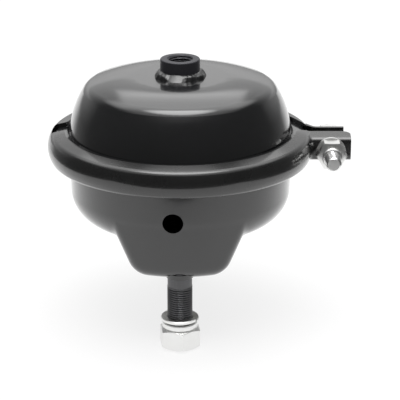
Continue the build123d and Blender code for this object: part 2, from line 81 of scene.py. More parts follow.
# Small sizes in millimetres that the CAD nodes leave out
AXIS = 0.0              # rows of a turned solid that close on its axis
RUN_OUT = 1.0           # length over which a thread fades into its shank
STUD_TIP = 1.5          # chamfer at the end of a stud
BOLT_TIP = 1.2          # chamfer at the end of the clamp bolt
SHANK_STEP = 0.3        # cone between a stud's thread and its shank
HEAD_EDGE = 0.5         # broken edge of a stud's head
FACE_START = 0.5        # depth in the bolt's head at which its bearing face starts
SLACK = 0.3             # between a washer's bore and its stud
NUT_GRIP = 0.5          # overlap of a stud nut's bore with the thread
BOLT_GRIP = 0.3         # overlap of the clamp nut's bore with the thread
WASHER_EDGE = 0.7       # rounding of a collar washer
SPRING_EDGE = 0.4       # broken edge of a spring washer
COLLAR_EDGE = 1.2       # rounding of the clamp nut's collar
COLLAR_SINK = 1.0       # how far that collar reaches into its nut
SEAM = 0.1              # line between two pieces that touch
BORE_CHAMFER = 1.1      # at the mouth of the inlet
RIM_EDGE = 0.8          # rounding round the top of the inlet
GAITER_STEP = 0.35      # height of one row of the gaiter
TINY = 1e-6             # keeps a divisor off zero
SAME_POINT = 1e-7       # metres within which two points are one

# Threads, as shares of the pitch
THREAD_DEPTH = 0.60     # crest to root
CREST = 0.30            # worn flat top
FLANK = 0.35            # one flank
THREAD_ROWS = 10        # rows in one pitch
NUT_THREAD = 0.7        # how far a thread stands back inside its nut, as a share of its depth

# Nuts
NUT_FACE = 0.95         # end face, as a share of the width across flats
NUT_CONE = radians(30)  # slope of the cone that cuts the corners

# Weld bead: shares, counts and phases of its waves
ROUND = 0.9             # power of its rounded section
STRAIGHT = 2.0          # power that makes that section a straight slope
SLOW_WAVES = ((1.0, 2, 0.9), (0.8, 5, 2.4), (0.5, 11, 0.0))
LUMP_WAVES = ((7, 1.0, 2), (3, 0.0, -2))
RIPPLE_SKEW = 1.6       # lean of the ripples along the bead
FLAT_SMOOTH = 0.9       # share of its waves that the bead's flat loses

FLANGE = 0.75           # thickness of the gaiter's flange, as a share of its wall

# Columns round a turned or swept shape
STUD_COLUMNS = 72       # studs, clamp bolt and gaiter
RING_COLUMNS = 96       # plain washers and inlet
SPLIT_COLUMNS = 120     # spring washers, from end to end
NUT_COLUMNS = 144       # nuts, bolt head and diaphragm
WELD_COLUMNS = 360
WIRE_COLUMNS = 14
WIRE_ROWS = 420

# Points along an arc
WELD_ARC = 17
CORNER_ARC = 5
CUP_ARC = 9

# Degrees between faces that meet at a sharp edge
CREASE = 35.0
THREAD_CREASE = 25.0
SOFT_CREASE = 50.0
WELD_CREASE = 60.0

# Wear: scales per metre, and the spans of noise that are used
FILM_SCALE = 900.0
CHIP_SCALE = 160.0
CHIP_SIZE = 0.06
UNEVEN_SCALE = 38.0
PATCH_SCALE = 24.0
PATCH_SPAN = (0.62, 0.68)
UNEVEN_SPAN = (0.3, 0.7)
FINE_FILM = 0.003       # relief of a smooth paint, in millimetres
CHIP_COLOR = (0.5, 0.5, 0.48, 1.0)
COAT_ROUGHNESS = 0.08
FLOOR_ROUGHNESS = 0.9
WHITE = (1, 1, 1, 1)

# Room, by the direction (x, y, z) in which it is seen: +y is behind the part and +z is up
SKIRTING = (0.0, 0.33, 0.3, 1.0)    # z over which the back wall brightens, and its shares of light
JOINT_FOOT = (0.28, 0.31)           # z where the darker joint of wall and ceiling begins
JOINT_HEAD = (0.50, 0.43)           # z where it ends
CEILING_RISE = (0.44, 0.55)         # z over which wall becomes ceiling
ASIDE = (0.18, 0.24, 0.0, 0.16)     # |x| over which joint and ceiling stand higher, and by how much
SIDES = (-0.1, 0.3, 0.5, 1.0)       # y over which the sides brighten, and their shares of light
NEAR = (0.85, 0.30)                 # y over which the dim front begins
LOW = (0.80, 0.62)                  # z over which it fades out overhead
LAMP_EDGE = (0.90, 0.965)           # soft edge of the lamp: cosine of the angle from its middle
SWEEP_Z = (0.0, -0.05)              # z below which the white sweep shows in gloss
SWEEP_Y = (0.70, 0.85)              # y behind which it does

# Camera, in metres and millimetres of lens
CAMERA_PLACE = (0.01276, -1.1276, 0.4394)
CAMERA_TILT = radians(70)
CAMERA_LENS = 164.13
CAMERA_REACH = 20


# ---- Surfaces ---------------------------------------------------------------
def grid_faces(rows, columns, loop_rows=False):
    """Quads of a grid that closes round its columns, and round its rows if loop_rows."""
    i = np.arange(rows if loop_rows else rows - 1)[:, None]
    j = np.arange(columns)[None, :]
    after_i = (i + 1) % rows
    after_j = (j + 1) % columns
    corners = (i * columns + j, i * columns + after_j, after_i * columns + after_j, after_i * columns + j)
    return np.stack(np.broadcast_arrays(*corners), axis=-1).reshape(-1, 4)


def signed_volume(points, quads):
    """Sum of a.(b x c)/6 over the triangles of the quads: positive when they face outward."""
    a, b, c, d = (points[quads[:, k]] for k in range(4))
    first = np.einsum("ij,ij->i", a, np.cross(b, c))
    second = np.einsum("ij,ij->i", a, np.cross(c, d))
    return (first + second).sum() / 6


def make_piece(name, shells, material, body, nodes, crease=CREASE):
    """One object from closed shells, each a pair (points in metres, quads), that stands for CAD nodes."""
    points, quads, start = [], [], 0
    for shell_points, shell_quads in shells:
        if signed_volume(shell_points, shell_quads) < 0:
            shell_quads = shell_quads[:, ::-1]
        points.append(shell_points)
        quads.append(shell_quads + start)
        start += len(shell_points)
    points = np.concatenate(points)
    quads = np.concatenate(quads)
    mesh = bpy.data.meshes.new(name)
    mesh.vertices.add(len(points))
    mesh.vertices.foreach_set("co", points.astype(np.float32).ravel())
    mesh.loops.add(quads.size)
    mesh.loops.foreach_set("vertex_index", quads.astype(np.int32).ravel())
    mesh.polygons.add(len(quads))
    mesh.polygons.foreach_set("loop_start", np.arange(0, quads.size, 4, dtype=np.int32))
    mesh.polygons.foreach_set("use_smooth", np.ones(len(quads), dtype=bool))
    mesh.update(calc_edges=True)
    close_poles(mesh)
    mesh.set_sharp_from_angle(angle=radians(crease))
    mesh.materials.append(material)
    piece = bpy.data.objects.new(name, mesh)
    bpy.context.scene.collection.objects.link(piece)
    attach(piece, body)
    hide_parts(*nodes)
    return piece


def close_poles(mesh):
    """Joins the points that a turned or swept shape has on its axis or at the middle of its ends."""
    work = bmesh.new()
    work.from_mesh(mesh)
    bmesh.ops.remove_doubles(work, verts=work.verts, dist=SAME_POINT)
    work.to_mesh(mesh)
    work.free()
    mesh.update()


def solid_of_turn(radii, heights, columns, centre=(0, 0), start=0.0):
    """Profile turned round a vertical axis: (x, y, z) = (r cos t, r sin t, h) + centre.

    Each row is one radius and height, or one of each per column.  A profile that starts off the
    axis closes on itself.
    """
    turn = start + np.linspace(0, 2 * pi, columns, endpoint=False)
    radii, heights = (np.asarray(rows, dtype=float) for rows in (radii, heights))
    radii, heights = (rows[:, None] if rows.ndim == 1 else rows for rows in (radii, heights))
    x = centre[0] + radii * np.cos(turn)
    y = centre[1] + radii * np.sin(turn)
    points = np.stack(np.broadcast_arrays(x, y, heights), axis=-1)
    rows = points.shape[0]
    return points.reshape(-1, 3) * MM, grid_faces(rows, columns, loop_rows=bool(radii[0].max() > 0))


def ridge(phase, crest, flank):
    """Trapezium wave of period 1 and height 0 to 1: flat for crest, sloping for flank each side."""
    away = np.abs((phase + 0.5) % 1.0 - 0.5)
    return np.clip((crest / 2 + flank - away) / flank, 0, 1)


def threaded(heights, outer, root, pitch, share, columns):
    """Radius of a thread: outer - (outer - root)(1 - ridge(h / pitch + t / 2 pi)) share."""
    turn = np.linspace(0, 1, columns, endpoint=False)[None, :]
    wave = ridge(heights[:, None] / pitch + turn, CREST, FLANK)
    return outer[:, None] - (outer - root)[:, None] * (1 - wave) * share[:, None]


# ---- Shader nodes -----------------------------------------------------------
def node(tree, kind, inputs=(), **settings):
    """Adds a node, sets its fields, and fills inputs with values or other sockets."""
    made = tree.nodes.new(kind)
    for field, value in settings.items():
        setattr(made, field, value)
    for key, value in dict(inputs).items():
        if isinstance(value, bpy.types.NodeSocket):
            tree.links.new(value, made.inputs[key])
        else:
            made.inputs[key].default_value = value
    return made


def new_group(name, inputs, outputs):
    """Empty node group with float inputs {name: default} and outputs {name: socket type}."""
    tree = bpy.data.node_groups.new(name, "ShaderNodeTree")
    for key, value in inputs.items():
        tree.interface.new_socket(key, in_out="INPUT", socket_type="NodeSocketFloat").default_value = value
    for key, kind in outputs.items():
        tree.interface.new_socket(key, in_out="OUTPUT", socket_type=kind)
    start = tree.nodes.new("NodeGroupInput")
    end = tree.nodes.new("NodeGroupOutput")
    where = node(tree, "ShaderNodeTexCoord").outputs["Object"]
    return tree, start, end, where


def ramp(tree, value, low, high, to_low=0.0, to_high=1.0):
    """Value carried from low..high to to_low..to_high, clamped."""
    return node(tree, "ShaderNodeMapRange", {0: value, 1: low, 2: high, 3: to_low, 4: to_high}).outputs[0]


def combine(tree, operation, first, second):
    """One Math node on two values or sockets."""
    return node(tree, "ShaderNodeMath", {0: first, 1: second}, operation=operation).outputs[0]


def seen_rays(tree, gloss_share=1.0):
    """1 for rays that come from the camera, gloss_share from a glossy or clear surface, 0 for light."""
    rays = node(tree, "ShaderNodeLightPath").outputs
    gloss = combine(tree, "MAXIMUM", rays["Is Glossy Ray"], rays["Is Transmission Ray"])
    return combine(tree, "MAXIMUM", rays["Is Camera Ray"], combine(tree, "MULTIPLY", gloss, gloss_share))


def build_wear_group():
    """Fine film texture (Height), a slow unevenness (Uneven) and rare small chips (Chips)."""
    tree, start, end, where = new_group(
        "SurfaceWear",
        {"Film Scale": FILM_SCALE, "Chip Scale": CHIP_SCALE, "Chip Size": CHIP_SIZE},
        {"Height": "NodeSocketFloat", "Uneven": "NodeSocketFloat", "Chips": "NodeSocketFloat"},
    )
    film = node(tree, "ShaderNodeTexNoise",
                {"Vector": where, "Scale": start.outputs["Film Scale"], "Detail": 2.0})
    slow = node(tree, "ShaderNodeTexNoise", {"Vector": where, "Scale": UNEVEN_SCALE, "Detail": 3.0})
    cells = node(tree, "ShaderNodeTexVoronoi", {"Vector": where, "Scale": start.outputs["Chip Scale"]})
    patches = node(tree, "ShaderNodeTexNoise", {"Vector": where, "Scale": PATCH_SCALE, "Detail": 1.0})
    rare = ramp(tree, patches.outputs["Fac"], *PATCH_SPAN)
    size = combine(tree, "MULTIPLY", start.outputs["Chip Size"], rare)
    chip = combine(tree, "LESS_THAN", cells.outputs["Distance"], size)
    tree.links.new(film.outputs["Fac"], end.inputs["Height"])
    tree.links.new(slow.outputs["Fac"], end.inputs["Uneven"])
    tree.links.new(chip, end.inputs["Chips"])
    return tree


def new_material(name, color, rough, metallic=0.0, coat=0.0, specular=0.5, chips=0.0,
                 film_scale=FILM_SCALE, film_depth=FINE_FILM, tint=0.12):
    """Principled surface whose colour, roughness and relief vary by the shared wear group."""
    material = bpy.data.materials.new(name)
    material.use_nodes = True
    tree = material.node_tree
    surface = tree.nodes["Principled BSDF"]
    wear = node(tree, "ShaderNodeGroup", node_tree=bpy.data.node_groups["SurfaceWear"])
    wear.inputs["Film Scale"].default_value = film_scale
    wear.inputs["Chip Size"].default_value = chips
    shade = ramp(tree, wear.outputs["Uneven"], *UNEVEN_SPAN, 1 - tint, 1 + tint)
    base = node(tree, "ShaderNodeMix", {"Factor": 1.0, "A": (*color, 1.0), "B": shade},
                data_type="RGBA", blend_type="MULTIPLY")
    mixed = node(tree, "ShaderNodeMix", {"Factor": wear.outputs["Chips"], "A": base.outputs["Result"],
                                         "B": CHIP_COLOR}, data_type="RGBA")
    tree.links.new(mixed.outputs["Result"], surface.inputs["Base Color"])
    dull = ramp(tree, wear.outputs["Uneven"], *UNEVEN_SPAN, *rough)
    tree.links.new(dull, surface.inputs["Roughness"])
    relief = node(tree, "ShaderNodeBump", {"Strength": 1.0, "Distance": film_depth * MM,
                                           "Height": wear.outputs["Height"]})
    tree.links.new(relief.outputs["Normal"], surface.inputs["Normal"])
    surface.inputs["Metallic"].default_value = metallic
    surface.inputs["Coat Weight"].default_value = coat
    surface.inputs["Coat Roughness"].default_value = COAT_ROUGHNESS
    surface.inputs["Specular IOR Level"].default_value = specular
    return material


# ---- Settings ---------------------------------------------------------------
def length(name, description, value):
    """A length in metres."""
    return bpy.props.FloatProperty(name=name, description=description, default=value, min=0.0,
                                   subtype="DISTANCE", unit="LENGTH", precision=5)


def color(name, description, value):
    """A linear colour."""
    return bpy.props.FloatVectorProperty(name=name, description=description, default=value,
                                         subtype="COLOR", size=3, min=0.0, max=1.0)


def angle(name, description, degrees):
    """An angle, given in degrees and kept in radians."""
    return bpy.props.FloatProperty(name=name, description=description, default=radians(degrees),
                                   subtype="ANGLE", unit="ROTATION")


def factor(name, description, value):
    """A share from 0 to 1."""
    return bpy.props.FloatProperty(name=name, description=description, default=value, min=0.0, max=1.0,
                                   subtype="FACTOR")


def amount(name, description, value, low=0.0):
    """A plain number from low up."""
    return bpy.props.FloatProperty(name=name, description=description, default=value, min=low)


def count(name, description, value, low):
    """A whole number from low up."""
    return bpy.props.IntProperty(name=name, description=description, default=value, min=low)


class ChamberFinish(bpy.types.PropertyGroup):
    paint: color("Paint", "Semi-gloss paint of the pressings", (0.0070, 0.0074, 0.0080))
    clamp_paint: color("Clamp paint", "Satin paint of the clamp", (0.008, 0.008, 0.008))
    boss: color("Inlet paint", "Paint of the inlet, a little duller than the cover's", (0.004, 0.004, 0.004))
    zinc: color("Zinc", "Bright plate of nuts, bolt and washers", (0.88, 0.88, 0.87))
    stud: color("Stud", "Dark phosphate of the studs", (0.008, 0.008, 0.008))
    rubber: color("Rubber", "Diaphragm and gaiter", (0.018, 0.018, 0.018))
    steel: color("Steel", "Push rod and plate", (0.52, 0.51, 0.48))


class ChamberThreads(bpy.types.PropertyGroup):
    stud_radius: length("Stud radius", "Crest of the M16 thread of studs and inlet", 0.008)
    pitch: length("Fine pitch", "Pitch of the M16 thread", 0.0015)
    shank: length("Shank", "Plain shank below the mounting face", 0.0065)
    shank_radius: length("Shank radius", "Radius of the plain shank", 0.0078)
    root_radius: length("Root radius", "Radius of the stud's root in the pad", 0.00825)
    bolt_radius: length("Bolt radius", "Crest of the clamp bolt's M10 thread", 0.005)
    bolt_pitch: length("Bolt pitch", "Pitch of the clamp bolt's thread", 0.0015)
    spigot_radius: length("Spigot radius", "Inlet where it passes through the cover", 0.010)


class ChamberNuts(bpy.types.PropertyGroup):
    stud_width: length("Stud nut width", "Across the flats of the stud nuts", 0.024)
    front_turn: angle("Front nut turn", "Turn of the nut on the front stud", 37.8)
    rear_turn: angle("Rear nut turn", "Turn of the nut on the rear stud", 24.0)
    slit_turn: angle("Slit turn", "Where the spring washers are split", -31.0)
    slit: length("Slit", "Gap in the spring washers", 0.0016)
    lift: length("Lift", "Step between the ends of a spring washer", 0.0012)
    head_height: length("Head height", "Height of the clamp bolt's head", 0.0064)
    face_height: length("Face height", "Round bearing face under that head", 0.0006)
    face_radius: length("Face radius", "Radius of that bearing face", 0.006)
    collar: length("Collar", "Height of the locking collar on the clamp nut", 0.004)
    collar_radius: length("Collar radius", "Radius of that collar", 0.0064)


class ChamberWeld(bpy.types.PropertyGroup):
    ripples: count("Ripples", "Ripples round the weld bead", 28, 3)
    ripple: length("Ripple height", "Height of the bead's ripples", 0.0001)
    wander: length("Wander", "Unevenness of the bead's outer edge", 0.0004)
    lump: length("Lumps", "Height of the slow lumps along the bead", 0.00035)
    flat_turn: angle("Flat turn", "Where the bead was laid down flat", -101.0)
    flat_width: angle("Flat width", "Half width of that flat", 20.0)
    flat_slope: angle("Flat slope", "Rise of the flat's normal above level", 50.0)


class ChamberSoft(bpy.types.PropertyGroup):
    wire: length("Wire", "Radius of the return spring's wire", 0.0022)
    spring_top: length("Spring top", "Radius of the spring's top coil", 0.0295)
    turns: amount("Turns", "Turns of the spring", 4.5, 1.0)
    gaiter_wall: length("Gaiter wall", "Thickness of the gaiter", 0.002)
    crest: length("Crest", "Radius of the gaiter's outer folds", 0.0195)
    valley: length("Valley", "Radius of the gaiter's inner folds", 0.013)
    folds: count("Folds", "Folds of the gaiter", 7, 1)
    cuff: length("Cuff", "Height of the gaiter's cuff on the rod", 0.0044)
    rubber: length("Diaphragm wall", "Thickness of the diaphragm", 0.003)
    cup_foot: length("Cup foot", "Radius where the diaphragm's flank rises", 0.066)
    cup_crown: length("Cup crown", "Radius where the flank meets the crown", 0.049)
    cup_round: length("Cup rounding", "Radius of both bends of the flank", 0.008)
    rim: length("Rim", "Inner radius of the diaphragm's wedge rim", 0.0725)
    rim_inner: length("Rim inner half", "Half height of the rim at its inner edge", 0.0049)
    rim_outer: length("Rim outer half", "Half height of the rim at its outer edge", 0.0029)


class ChamberStage(bpy.types.PropertyGroup):
    floor: color("Floor", "Colour of the floor", (0.93, 0.93, 0.93))
    paper: factor("Paper", "Share of plain white in the floor as it is seen", 0.8)
    sheet_front: length("Sheet in front", "Pale sheet of floor in front of the part", 0.30)
    sheet_back: length("Sheet behind", "Pale sheet of floor behind the part", 3.0)
    sheet_left: length("Sheet at the left", "Pale sheet of floor to the left of the part", 0.40)
    sheet_right: length("Sheet at the right", "Pale sheet of floor to the right of the part", 0.33)
    back: amount("Back wall", "Brightness of the room behind the part", 1.0)
    ceiling: amount("Ceiling", "Brightness of the room above and behind the part", 1.9)
    gap: factor("Gap", "Share of light left between the back wall and the ceiling", 0.62)
    lamp: amount("Lamp", "Brightness of the round soft lamp overhead", 5.0)
    lean: angle("Lean", "Lean of that lamp from overhead toward the front", 6.0)
    front: amount("Front", "Brightness of the dim room in front and at the sides", 0.11)


# ---- Pieces -----------------------------------------------------------------
def box_mm(name):
    """Low and high corners of a CAD node, in millimetres."""
    low, high = (np.array(corner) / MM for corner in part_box(name))
    return low, high


def rows_between(start, end, step):
    """Heights from start to end, about a step apart."""
    return np.linspace(start, end, max(2, int(abs(end - start) / step) + 1))


def along_minus_y(centre_x, centre_z):
    """Places a solid drawn up +Z so that its axis runs to -Y: (x, y, z) -> (x, -z, y) + centre."""
    def place(points):
        x, y, z = points.T
        return np.stack([x + centre_x * MM, -z, y + centre_z * MM], axis=-1)
    return place


def hex_nut(width, low, high, bore, turn):
    """Nut or head: r(t) = width / 2 / cos(t from the nearest flat), a corner at turn, ends cut by a cone.

    The cone of slope NUT_CONE starts at NUT_FACE of the flats' radius, so the cut's edge stands
    at height (r(t) - face) tan(slope) from the end: it dips at each corner.
    """
    angle = np.linspace(0, 2 * pi, NUT_COLUMNS, endpoint=False)
    side = width / 2 / np.cos(angle % (pi / 3) - pi / 6)
    face = NUT_FACE * width / 2
    fall = (side - face) * np.tan(NUT_CONE)
    level = np.ones(NUT_COLUMNS)
    radii = np.stack([bore * level, face * level, side, side, face * level, bore * level])
    heights = np.stack([low * level, low * level, low + fall, high - fall, high * level, high * level])
    return solid_of_turn(radii, heights, NUT_COLUMNS, start=turn)


def rounded_ring(outer, bore, low, high, edge):
    """Washer of rectangular section with its outer edges rounded by a quarter circle."""
    arc = np.linspace(0, pi / 2, CORNER_ARC)
    lower = [(outer - edge + edge * np.sin(a), low + edge - edge * np.cos(a)) for a in arc]
    upper = [(outer - edge + edge * np.cos(a), high - edge + edge * np.sin(a)) for a in arc]
    radii, heights = np.array([(bore, low), *lower, *upper, (bore, high)]).T
    return solid_of_turn(radii, heights, RING_COLUMNS)


def turned(angle, radius, z):
    """Points (radius cos a, radius sin a, z)."""
    return np.stack([radius * np.cos(angle), radius * np.sin(angle), z], axis=-1)


class CHAMBER_OT_finishes(bpy.types.Operator):
    """Makes the shared materials and puts them on the CAD nodes"""
    bl_idname = "brake_chamber.finishes"
    bl_label = "Finishes"

    def execute(self, context):
        colors = context.scene.chamber_finish
        build_wear_group()
        paint = new_material("chamber_paint", colors.paint, rough=(0.18, 0.25), coat=1.0, chips=0.04)
        clamp = new_material("clamp_paint", colors.clamp_paint, rough=(0.22, 0.32), coat=0.8, chips=0.05)
        boss = new_material("boss_paint", colors.boss, rough=(0.30, 0.40), coat=1.0, specular=0.3)
        new_material("weld_paint", colors.paint, rough=(0.28, 0.40), specular=1.0)
        zinc = new_material("zinc", colors.zinc, rough=(0.24, 0.36), metallic=1.0, film_scale=1400.0,
                            film_depth=0.004, tint=0.06)
        stud = new_material("stud_steel", colors.stud, rough=(0.20, 0.30), specular=0.9)
        rubber = new_material("rubber", colors.rubber, rough=(0.55, 0.75), specular=0.35, film_depth=0.02)
        steel = new_material("rod_steel", colors.steel, rough=(0.25, 0.40), metallic=1.0, film_depth=0.006)
        by_slot = {"cover_paint": paint, "boss_paint": boss, "bowl_paint": paint, "clamp_paint": clamp,
                   "stud_steel": stud, "zinc_steel": zinc, "rubber": rubber, "rod_steel": steel,
                   "spring_steel": paint}
        for part in frame["record"]["subparts"]:
            mesh = frame["nodes"][part["node"]].data
            mesh.materials.clear()
            mesh.materials.append(by_slot[part["material_slot"]])
        return {"FINISHED"}


class CHAMBER_OT_studs(bpy.types.Operator):
    """Two mounting studs with their threads: r = crest - depth (1 - ridge(z / pitch + t / 2 pi))"""
    bl_idname = "brake_chamber.studs"
    bl_label = "Studs"

    def execute(self, context):
        for end, side in (("front", -1), ("rear", 1)):
            self.stud(end, side, context.scene.chamber_threads)
        return {"FINISHED"}

    def stud(self, end, side, sizes):
        low, high = box_mm("stud_" + end)
        centre = (0.0, np.mean([corner[1] for corner in box_mm("collar_washer_" + end)]))
        seat = box_mm("stiffener_plate")[1][2]
        crest = sizes.stud_radius / MM
        pitch = sizes.pitch / MM
        depth = THREAD_DEPTH * pitch
        neck = -sizes.shank / MM
        shank = sizes.shank_radius / MM
        root = sizes.root_radius / MM
        z = rows_between(low[2], neck, pitch / THREAD_ROWS)
        outer = np.minimum(crest, crest - STUD_TIP + (z - low[2]))
        share = np.clip((neck - z) / RUN_OUT, 0, 1) * np.clip((z - low[2]) / STUD_TIP, 0, 1)
        columns = STUD_COLUMNS
        thread = threaded(z, outer, crest - depth, pitch, share, columns)
        nut_low, nut_high = (corner[2] for corner in box_mm("stud_nut_" + end))
        hidden = (z > nut_low + pitch / 2) & (z < nut_high - pitch / 2)
        thread[hidden] = np.minimum(thread[hidden], crest - depth * NUT_THREAD)
        rest = [(shank, neck + SHANK_STEP), (shank, 0), (root, 0), (root, seat), (AXIS, seat)]
        radii = np.concatenate([np.full((1, columns), AXIS), thread]
                               + [np.full((1, columns), radius) for radius, _ in rest])
        heights = np.concatenate([[low[2]], z, [height for _, height in rest]])
        shells = [solid_of_turn(radii, heights, columns, centre), self.d_head(low, high, centre, side, seat)]
        make_piece(f"stud_{end}_detail", shells, bpy.data.materials["stud_steel"], "chamber",
                   ["stud_" + end], THREAD_CREASE)

    def d_head(self, low, high, centre, side, seat):
        """Round head with one flat: r(t) = min(R, flat / |sin t|) on the flat's side."""
        columns = STUD_COLUMNS
        turn = np.linspace(0, 2 * pi, columns, endpoint=False)
        wide = (high[0] - low[0]) / 2
        flat = high[1] - centre[1] if side > 0 else centre[1] - low[1]
        radius = np.minimum(wide, flat / np.maximum(side * np.sin(turn), TINY))
        top = high[2]
        middle = np.full(columns, AXIS)
        radii = np.stack([middle, radius, radius, radius - HEAD_EDGE, middle])
        return solid_of_turn(radii, [seat, seat, top - HEAD_EDGE, top, top], columns, centre)


class CHAMBER_OT_stud_nuts(bpy.types.Operator):
    """Nuts, collar washers and split spring washers on the two studs"""
    bl_idname = "brake_chamber.stud_nuts"
    bl_label = "Stud nuts"

    def execute(self, context):
        sizes = context.scene.chamber_nuts
        threads = context.scene.chamber_threads
        zinc = bpy.data.materials["zinc"]
        for end, turn in (("front", sizes.front_turn), ("rear", sizes.rear_turn)):
            centre = np.mean([corner[1] for corner in box_mm("collar_washer_" + end)])
            names = [f"{kind}_{end}" for kind in ("stud_nut", "collar_washer", "spring_washer")]
            nut, collar, split = (box_mm(name) for name in names)
            bore = threads.stud_radius / MM
            hole = bore + SLACK
            shells = [hex_nut(sizes.stud_width / MM, nut[0][2], nut[1][2], bore - NUT_GRIP, turn),
                      rounded_ring(collar[1][0], hole, collar[0][2] + SEAM, collar[1][2] - SEAM, WASHER_EDGE),
                      self.spring_washer(split, hole, sizes)]
            for name, (points, quads) in zip(names, shells):
                points = points + np.array([0, centre * MM, 0])
                make_piece(name + "_detail", [(points, quads)], zinc, "chamber", [name])
        return {"FINISHED"}

    def spring_washer(self, box, bore, sizes):
        """Square section carried round one turn less the slit, rising by lift from end to end."""
        low, high = box
        outer = high[0]
        lift = sizes.lift / MM
        slit = sizes.slit / MM / outer
        s = np.linspace(0, 1, SPLIT_COLUMNS)
        angle = sizes.slit_turn + slit / 2 + (2 * pi - slit) * s
        bottom = low[2] + SEAM + lift * s
        top = high[2] - lift * (1 - s)
        edge = SPRING_EDGE
        section = [(bore, bottom), (outer - edge, bottom), (outer, bottom + edge), (outer, top - edge),
                   (outer - edge, top), (bore, top)]
        rim = np.stack([turned(angle, radius, z) for radius, z in section], axis=1)
        centre = turned(angle, (bore + outer) / 2, (bottom + top) / 2)
        ends = [np.repeat(centre[k][None, None], len(section), axis=1) for k in (0, -1)]
        points = np.concatenate([ends[0], rim, ends[1]]).reshape(-1, 3) * MM
        return points, grid_faces(SPLIT_COLUMNS + 2, len(section))


class CHAMBER_OT_clamp_bolt(bpy.types.Operator):
    """Clamp bolt with its thread, and its nut with a locking collar, laid along -Y"""
    bl_idname = "brake_chamber.clamp_bolt"
    bl_label = "Clamp bolt"

    def execute(self, context):
        sizes = context.scene.chamber_nuts
        threads = context.scene.chamber_threads
        low, high = box_mm("clamp_bolt")
        place = along_minus_y((low[0] + high[0]) / 2, (low[2] + high[2]) / 2)
        washer_low = box_mm("clamp_washer")[0][1]
        nut_low, nut_high = box_mm("clamp_nut")
        shells = [self.bolt(-high[1], -washer_low, -low[1], sizes, threads),
                  hex_nut(high[2] - low[2], -high[1], -high[1] + sizes.head_height / MM, AXIS, 0.0)]
        self.add("clamp_bolt", shells, place)
        collar = -nut_low[1] - sizes.collar / MM
        bore = threads.bolt_radius / MM - BOLT_GRIP
        radius = sizes.collar_radius / MM
        shells = [hex_nut(nut_high[2] - nut_low[2], -nut_high[1], collar, bore, 0.0),
                  rounded_ring(radius, bore, collar - COLLAR_SINK, -nut_low[1], COLLAR_EDGE)]
        self.add("clamp_nut", shells, place)
        return {"FINISHED"}

    def add(self, name, shells, place):
        shells = [(place(points), quads) for points, quads in shells]
        make_piece(name + "_detail", shells, bpy.data.materials["zinc"], "chamber", [name])

    def bolt(self, head, thread_start, tip, sizes, threads):
        """Bearing face, plain shank, then r = crest - depth (1 - ridge) to a chamfered tip."""
        crest = threads.bolt_radius / MM
        pitch = threads.bolt_pitch / MM
        depth = THREAD_DEPTH * pitch
        columns = STUD_COLUMNS
        z = rows_between(thread_start, tip, pitch / THREAD_ROWS)
        outer = np.minimum(crest, crest - BOLT_TIP + (tip - z))
        share = np.clip((z - thread_start) / RUN_OUT, 0, 1) * np.clip((tip - z) / BOLT_TIP, 0, 1)
        thread = threaded(z, outer, crest - depth, pitch, share, columns)
        under = head + (sizes.head_height + sizes.face_height) / MM
        face = sizes.face_radius / MM
        start = head + FACE_START
        plain = [(AXIS, start), (face, start), (face, under), (crest, under)]
        radii = np.concatenate([np.full((1, columns), radius) for radius, _ in plain]
                               + [thread, np.full((1, columns), AXIS)])
        heights = np.concatenate([[height for _, height in plain], z, [tip]])
        return solid_of_turn(radii, heights, columns)


class CHAMBER_OT_inlet(bpy.types.Operator):
    """Inlet boss whose bore carries an internal thread: r = minor + depth ridge(z / pitch + t / 2 pi)"""
    bl_idname = "brake_chamber.inlet"
    bl_label = "Inlet"

    def execute(self, context):
        sizes = context.scene.chamber_threads
        low, high = box_mm("inlet_boss")
        outer, top = high[0], high[2]
        seat = box_mm("pressure_cover")[1][2]
        spigot = sizes.spigot_radius / MM
        pitch = sizes.pitch / MM
        major = sizes.stud_radius / MM
        minor = major - THREAD_DEPTH * pitch
        columns = RING_COLUMNS
        z = rows_between(top - BORE_CHAMFER, low[2] + pitch / 3, pitch / THREAD_ROWS)
        bore = threaded(z, np.full(len(z), major), minor, pitch, np.ones(len(z)), columns)
        rim = [(minor, low[2]), (spigot, low[2]), (spigot, seat), (outer, seat)]
        rim += [(outer - RIM_EDGE * (1 - np.cos(a)), top - RIM_EDGE * (1 - np.sin(a)))
                for a in np.linspace(0, pi / 2, CORNER_ARC)]
        rim += [(major + BORE_CHAMFER / 2, top), (major, top - BORE_CHAMFER / 2)]
        radii = np.concatenate([[np.full(columns, radius) for radius, _ in rim], bore])
        heights = np.concatenate([[height for _, height in rim], z])
        shell = solid_of_turn(radii, heights, columns)
        make_piece("inlet_boss_detail", [shell], bpy.data.materials["boss_paint"], "chamber",
                   ["inlet_boss"])
        return {"FINISHED"}


